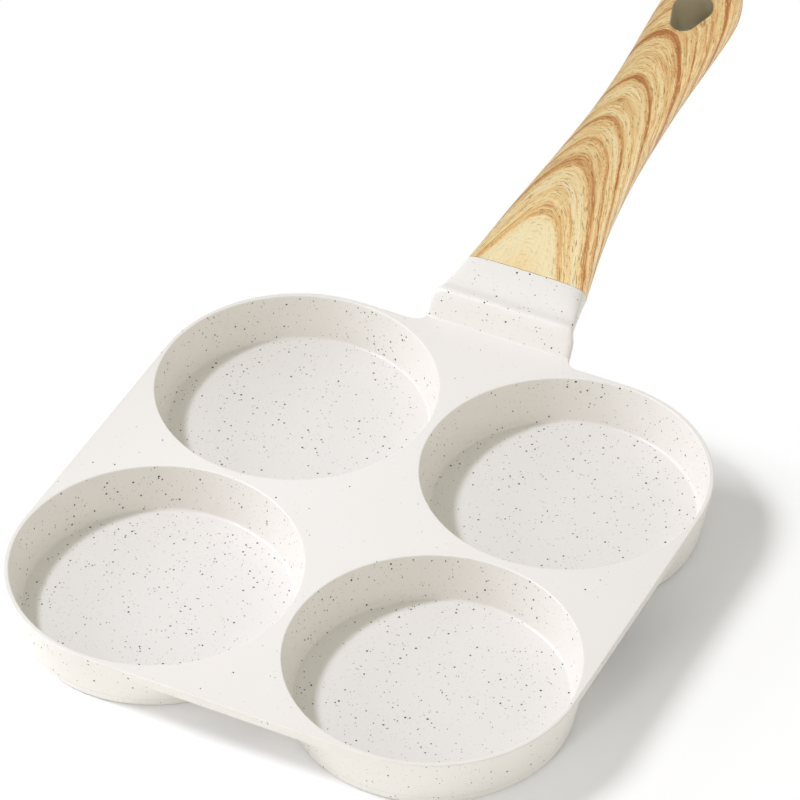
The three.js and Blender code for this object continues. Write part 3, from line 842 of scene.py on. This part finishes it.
# Strokes along the bands. The pale wood before the first band has short strokes instead and fewer pores.
PALE_UNTIL = 15
PALE_FADE = 7
LEG_WIDENING = 2.4
LEG_LENGTHENING = 1.5
STROKE_WIDTH = 0.9
STROKE_LENGTH = 8
STROKE_DEPTH = 0.32
STREAK_DEPTH = 0.2
LINE_DEPTH = 0.28
HAIR_DEPTH = 0.6
RAGGED_DEPTH = 0.6
STROKES_ON_BANDS = 0.3
STREAKS_ON_PALE = 0.2
PORES_ON_PALE = 0.3


def along_grain(per_mm, length, seed, detail=1):
    """Noise in short strokes along the arches, of one width at their tops and on their legs."""
    x = print_across / length
    at_top = grain_noise(growth * per_mm, x, print_along / length + seed, detail)
    leg_along = print_along / (LEG_LENGTHENING * length) + seed
    at_leg = grain_noise(growth * (per_mm / LEG_WIDENING), x, leg_along, detail)
    return at_top + on_leg * (at_leg - at_top)


def marks(value, over, sharpness):
    """Where a value is over a level, with edges of a sharpness."""
    return ((value - over) * sharpness).clamped()


past_first = marks(growth, over=PALE_UNTIL, sharpness=1 / PALE_FADE)
streaks = marks(along_grain(per_mm=0.9, length=22, seed=0, detail=3), over=5 / 12, sharpness=6) - 0.5
lines = marks(along_grain(per_mm=1.3, length=9, seed=40), over=0.55, sharpness=12) * past_first
hairs = (along_grain(per_mm=1.9, length=12, seed=160) - 0.5) * past_first
strokes = grain_noise(print_across / STROKE_WIDTH, print_along / STROKE_LENGTH, 60) - 0.5
strokes = strokes * mix(1, STROKES_ON_BANDS, past_first)
faded_streaks = streaks * mix(STREAKS_ON_PALE, 1, past_first)
pores = marks(along_grain(per_mm=2.1, length=2.6, seed=80), over=0.58, sharpness=14)
pores = pores * mix(PORES_ON_PALE, 1, past_first)
glints = marks(along_grain(per_mm=2.1, length=2.6, seed=120), over=0.6, sharpness=12) * past_first
dark_level = (band_level + STROKE_DEPTH * strokes + STREAK_DEPTH * faded_streaks + LINE_DEPTH * lines
              + HAIR_DEPTH * hairs + RAGGED_DEPTH * ragged).clamped()

WOOD_TONES = [(0, colour(236, 224, 187)), (0.25, colour(234, 206, 152)), (0.5, colour(219, 181, 123)),
              (0.75, colour(202, 150, 94)), (1, colour(176, 112, 60))]
GLINT = colour(250, 236, 196)
GLINT_SHARE = 0.5
PORE = colour(130, 96, 48)
PORE_SHARE = 0.66
# Dark olive-grey of the bare moulding, kept dark so that it also paints the shade inside the hanging hole
MOULDING_AND_HOLE_SHADE = colour(152, 141, 114)
WOOD_ROUGHNESS = 0.44
STREAK_ROUGHNESS = 0.05
STREAK_RELIEF = 0.4
PORE_RELIEF = 0.6
printed = dark_level.node("ValToRGB", {"Fac": dark_level}, stops=WOOD_TONES)
printed = (GLINT_SHARE * glints).blend(printed, GLINT)
printed = (PORE_SHARE * pores).blend(printed, PORE)
# The inner faces take the dark moulding colour, which in the hole is painted shade as well
is_bare_and_hole_shade = wood_wire.node("Attribute", output="Fac", attribute_name="bare_and_hole_shade")
is_bare_and_hole_shade.blend(printed, MOULDING_AND_HOLE_SHADE).drives(wood_face, "Base Color")
(WOOD_ROUGHNESS + STREAK_ROUGHNESS * streaks).drives(wood_face, "Roughness")
(STREAK_RELIEF * streaks - PORE_RELIEF * pores).raises(wood_face, strength=0.2, depth=0.06 * MM)
handle.data.materials.append(wood)
smooth(handle)
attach(handle, "root")
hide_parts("handle")

# Base discs: steel blanks with punched dimples, pressed into the underside of each cup so that they stand a
# hair proud and the pan heats on any hob.
DISC_CHAMFER = 0.3 * MM
DIMPLE_RADIUS = 1.5 * MM
DIMPLE_DEPTH = 0.45 * MM
DIMPLE_SEGMENTS = 24
DIMPLE_SPACING = 6 * MM
DIMPLE_ROWS = 5
DIMPLES_PER_ROW = 6
STEEL_DARK = colour(176, 174, 170)
STEEL_LIGHT = colour(206, 204, 200)
STEEL_ROUGHNESS = 0.28
TURNING_ROUGHNESS = 0.2
TURNINGS_PER_METRE = 2500

disc_profile = [(DISC_RADIUS - DISC_CHAMFER, 0), (DISC_RADIUS, DISC_CHAMFER), (DISC_RADIUS, DISC)]
blank = turned("base_plate", disc_profile)
punch = added(bpy.ops.mesh.primitive_uv_sphere_add, "punch", segments=DIMPLE_SEGMENTS,
              ring_count=DIMPLE_SEGMENTS // 2, radius=1, scale=(DIMPLE_RADIUS, DIMPLE_RADIUS, DIMPLE_DEPTH))
for row in range(1, DIMPLE_ROWS + 1):
    count = DIMPLES_PER_ROW * row
    out = DIMPLE_SPACING * row
    for i in range(count):
        turn = math.tau * i / count
        pick("VERT", lambda v: v.co.length < DIMPLE_SPACING / 2)
        bpy.ops.mesh.duplicate_move(
            TRANSFORM_OT_translate={"value": (out * math.cos(turn), out * math.sin(turn), 0)})
finish_mesh()
combine(blank, punch, "DIFFERENCE")
steel, steel_face, steel_wire = new_material("base_steel")
steel_face.inputs["Metallic"].default_value = 1
from_axis = from_cup_axis(steel_wire.node("TexCoord", output="Object"))
turning = from_axis.node("TexNoise", {"W": from_axis, "Scale": TURNINGS_PER_METRE, "Detail": 3}, output="Fac",
                         noise_dimensions="1D")
turning.blend(STEEL_DARK, STEEL_LIGHT).drives(steel_face, "Base Color")
(STEEL_ROUGHNESS + TURNING_ROUGHNESS * turning).drives(steel_face, "Roughness")
turning.raises(steel_face, strength=0.3, depth=0.05 * MM)
blank.data.materials.append(steel)
smooth(blank)
for cup, (x, y) in cup_centres.items():
    disc = blank.copy()
    disc.data = blank.data.copy()
    disc.name = disc.data.name = "base_plate_" + cup
    bpy.context.collection.objects.link(disc)
    only(disc)
    disc.location = (x, y, 0)
    bpy.ops.object.transform_apply(location=True, rotation=True, scale=True)
    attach(disc, "root")
    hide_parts("base_disc_" + cup)
bpy.data.objects.remove(blank)

# Washer and screw: a stamped washer and a machine screw with a cross in its head, of bright zinc-plated
# steel. They go in from below and clamp the grip to the tang.
WASHER = 0.6 * MM
WASHER_TOP = -3.45 * MM
WASHER_EDGE = 0.1 * MM
HEAD_TOP = -4.25 * MM
HEAD_RADIUS = 3.8 * MM
HEAD_HEIGHT = 1.7 * MM
HEAD_ROUND = 0.6 * MM
SHANK = 6.9 * MM
SHANK_TIP = 0.5 * MM
CROSS_WIDTH = 0.9 * MM
CROSS_LENGTH = 4.2 * MM
CROSS_DEPTH = 1.1 * MM
ZINC_DARK = colour(178, 178, 176)
ZINC_LIGHT = colour(208, 208, 205)
ZINC_ROUGHNESS = 0.24
CLOUD_ROUGHNESS = 0.18
CLOUDS_PER_METRE = 900


def onto_tang(piece, up):
    """Puts a piece that was turned about Z square to the tang, at the screw's place."""
    only(piece)
    piece.rotation_euler = (TANG_TILT, 0, 0)
    piece.location = in_tang(SCREW_FROM_JOINT, up)
    bpy.ops.object.transform_apply(location=True, rotation=True, scale=True)


washer = turned("lock_washer", [
    (WASHER_RADIUS - WASHER_EDGE, -WASHER), (WASHER_RADIUS, WASHER_EDGE - WASHER),
    (WASHER_RADIUS, -WASHER_EDGE), (WASHER_RADIUS - WASHER_EDGE, 0)], segments=SCREW_SEGMENTS)
bore = SCREW_RADIUS + SCREW_FIT
combine(washer, turned("bore", [(bore, -OVERRUN), (bore, OVERRUN)], segments=SCREW_SEGMENTS), "DIFFERENCE")
onto_tang(washer, WASHER_TOP)
zinc, zinc_face, zinc_wire = new_material("fastener_steel")
zinc_face.inputs["Metallic"].default_value = 1
cloud = zinc_wire.node("TexCoord", output="Object").noise(CLOUDS_PER_METRE, 3)
cloud.blend(ZINC_DARK, ZINC_LIGHT).drives(zinc_face, "Base Color")
(ZINC_ROUGHNESS + CLOUD_ROUGHNESS * cloud).drives(zinc_face, "Roughness")
cloud.raises(zinc_face, strength=0.15, depth=0.03 * MM)
washer.data.materials.append(zinc)
smooth(washer)
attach(washer, "root")
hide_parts("screw_washer")

screw = turned("cross_head_screw", [
    *arc(HEAD_ROUND, HEAD_RADIUS - HEAD_ROUND, HEAD_ROUND - HEAD_HEIGHT, -math.pi / 2, 0),
    (HEAD_RADIUS, 0), (SCREW_RADIUS, 0), (SCREW_RADIUS, SHANK - SHANK_TIP), (SCREW_RADIUS - SHANK_TIP, SHANK),
], segments=SCREW_SEGMENTS)
for width, length in ((CROSS_WIDTH, CROSS_LENGTH), (CROSS_LENGTH, CROSS_WIDTH)):
    slot = added(bpy.ops.mesh.primitive_cube_add, "slot", size=1, scale=(width, length, 2 * CROSS_DEPTH),
                 location=(0, 0, -HEAD_HEIGHT))
    finish_mesh()
    combine(screw, slot, "DIFFERENCE")
onto_tang(screw, HEAD_TOP)
screw.data.materials.append(zinc)
smooth(screw)
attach(screw, "root")
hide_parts("handle_screw")

# Floor: a plain white sheet that keeps the pan's soft shadow. The camera sees it as pure white behind the pan
# and far from it.
SHEET_SIZE = 6
SHEET_TINT = (0.95, 0.96, 1, 1)
SHEET_ROUGHNESS = 0.9
SHADOW_FROM_EDGE = 15 * MM
SHADOW_FADE = 30 * MM
SHADOW_REACH = 280 * MM
FAR_FADE = 150 * MM
floor_sheet = added(bpy.ops.mesh.primitive_plane_add, "floor_sheet", size=SHEET_SIZE)
finish_mesh()
sheet, sheet_face, sheet_wire = new_material("sheet")
sheet_face.inputs["Base Color"].default_value = SHEET_TINT
sheet_face.inputs["Roughness"].default_value = SHEET_ROUGHNESS
sheet_face.inputs["Specular IOR Level"].default_value = 0
sheet_place = sheet_wire.node("TexCoord", output="Object")
to_side = sheet_place.axis("X")
to_back = sheet_place.axis("Y") - pan_y
behind_pan = ((to_back - (half_deck - SHADOW_FROM_EDGE)) / SHADOW_FADE).clamped()
far_away = (((to_side * to_side + to_back * to_back) ** 0.5 - SHADOW_REACH) / FAR_FADE).clamped()
seen = sheet_wire.node("LightPath", output="Is Camera Ray")
seen = (seen + seen.other("Is Glossy Ray") + seen.other("Is Transmission Ray")).clamped()
fade = sheet_wire.math("MAXIMUM", behind_pan, far_away) * seen
white = sheet_wire.node("Emission", {"Color": (1, 1, 1, 1), "Strength": 1})
lit = Wire(sheet.node_tree, sheet_face.outputs[0])
paper = sheet_wire.node("MixShader", {0: fade, 1: lit, 2: white})
paper.drives(sheet.node_tree.nodes["Material Output"], "Surface")
floor_sheet.data.materials.append(sheet)

# Light: a pale studio room. A near spot at the left lights only the casting and shadows the cups' left sides,
# a wide softbox lights only the grip, three weak fills light everything, and two lamps light only the sheet,
# so that the pan's shadow lies there as in a product picture.
ROOM_TINT = (1, 0.98, 0.89, 1)
ROOM_LEVEL = 0.525
LAMP_DISTANCE = 1.8
KEY_DISTANCE = 0.81
KEY_LEVEL = 0.61
KEY_TINT = (0.84, 0.85, 1)
KEY_RADIUS = 0.05
KEY_BEAM = math.radians(39)
KEY_AIM = Vector((95, 5, 0)) * MM
scene = bpy.context.scene
world = bpy.data.worlds.new("studio")
world.use_nodes = True
scene.world = world
room = world.node_tree.nodes["Background"]
room.inputs["Color"].default_value = ROOM_TINT
room.inputs["Strength"].default_value = ROOM_LEVEL
pan_middle = Vector((0, pan_y, 0))


def hang(light, distance, turn, lift, aim=pan_middle, only_on=None):
    """Hangs a light at a distance, turn and lift from the pan's middle, for every piece or only for one."""
    lamp = bpy.data.objects.new(light.name, light)
    bpy.context.collection.objects.link(lamp)
    turn, lift = math.radians(turn), math.radians(lift)
    away = Vector((math.cos(turn) * math.cos(lift), math.sin(turn) * math.cos(lift), math.sin(lift)))
    lamp.location = pan_middle + distance * away
    lamp.rotation_euler = (lamp.location - aim).to_track_quat("Z", "Y").to_euler()
    if only_on:
        lit_pieces = bpy.data.collections.new("lit_by_" + light.name)
        lit_pieces.objects.link(only_on)
        lamp.light_linking.receiver_collection = lit_pieces


def softbox(name, size, level, turn, lift, tint=(1, 1, 1), only_on=None):
    """A round softbox that aims at the pan and brightens a white surface square to it by a level."""
    light = bpy.data.lights.new(name, "AREA")
    light.shape = "DISK"
    light.size = size
    light.energy = level * (math.pi * LAMP_DISTANCE) ** 2
    light.color = tint
    hang(light, LAMP_DISTANCE, turn, lift, only_on=only_on)


key = bpy.data.lights.new("key", "SPOT")
key.energy = KEY_LEVEL * (2 * math.pi * KEY_DISTANCE) ** 2
key.color = KEY_TINT
key.shadow_soft_size = KEY_RADIUS
key.spot_size = KEY_BEAM
key.spot_blend = 1
hang(key, KEY_DISTANCE, turn=195, lift=54.4, aim=pan_middle + KEY_AIM, only_on=casting)
softbox("grip_lamp", size=1.2, level=0.56, turn=318, lift=50, only_on=handle)
softbox("front_fill", size=1.4, level=0.09, turn=245, lift=14)
softbox("left_fill", size=0.5, level=0.15, turn=190, lift=22, tint=(0.92, 0.97, 1))
softbox("right_fill", size=1.4, level=0.09, turn=-10, lift=22)
softbox("sheet_lamp", size=0.54, level=0.62, turn=195, lift=45, only_on=floor_sheet)
softbox("sheet_fill", size=0.4, level=0.42, turn=262, lift=12, tint=(1, 0.96, 0.9), only_on=floor_sheet)

# Camera: a long lens over the front right of the pan, looking down at the cups.
CAMERA_EYE = Vector((544.49, -1166.93, 1091.19)) * MM
CAMERA_TILT = math.radians(49.644)
CAMERA_TURN = math.radians(26.303)
CAMERA_LENS = 231.92
CAMERA_SENSOR = 36
CAMERA_REACH = 20
camera_data = bpy.data.cameras.new("camera")
camera_data.lens = CAMERA_LENS
camera_data.sensor_width = CAMERA_SENSOR
camera_data.clip_end = CAMERA_REACH
camera = bpy.data.objects.new("camera", camera_data)
bpy.context.collection.objects.link(camera)
camera.location = CAMERA_EYE
camera.rotation_euler = (CAMERA_TILT, 0, CAMERA_TURN)
scene.camera = camera
scene.view_settings.view_transform = "Standard"
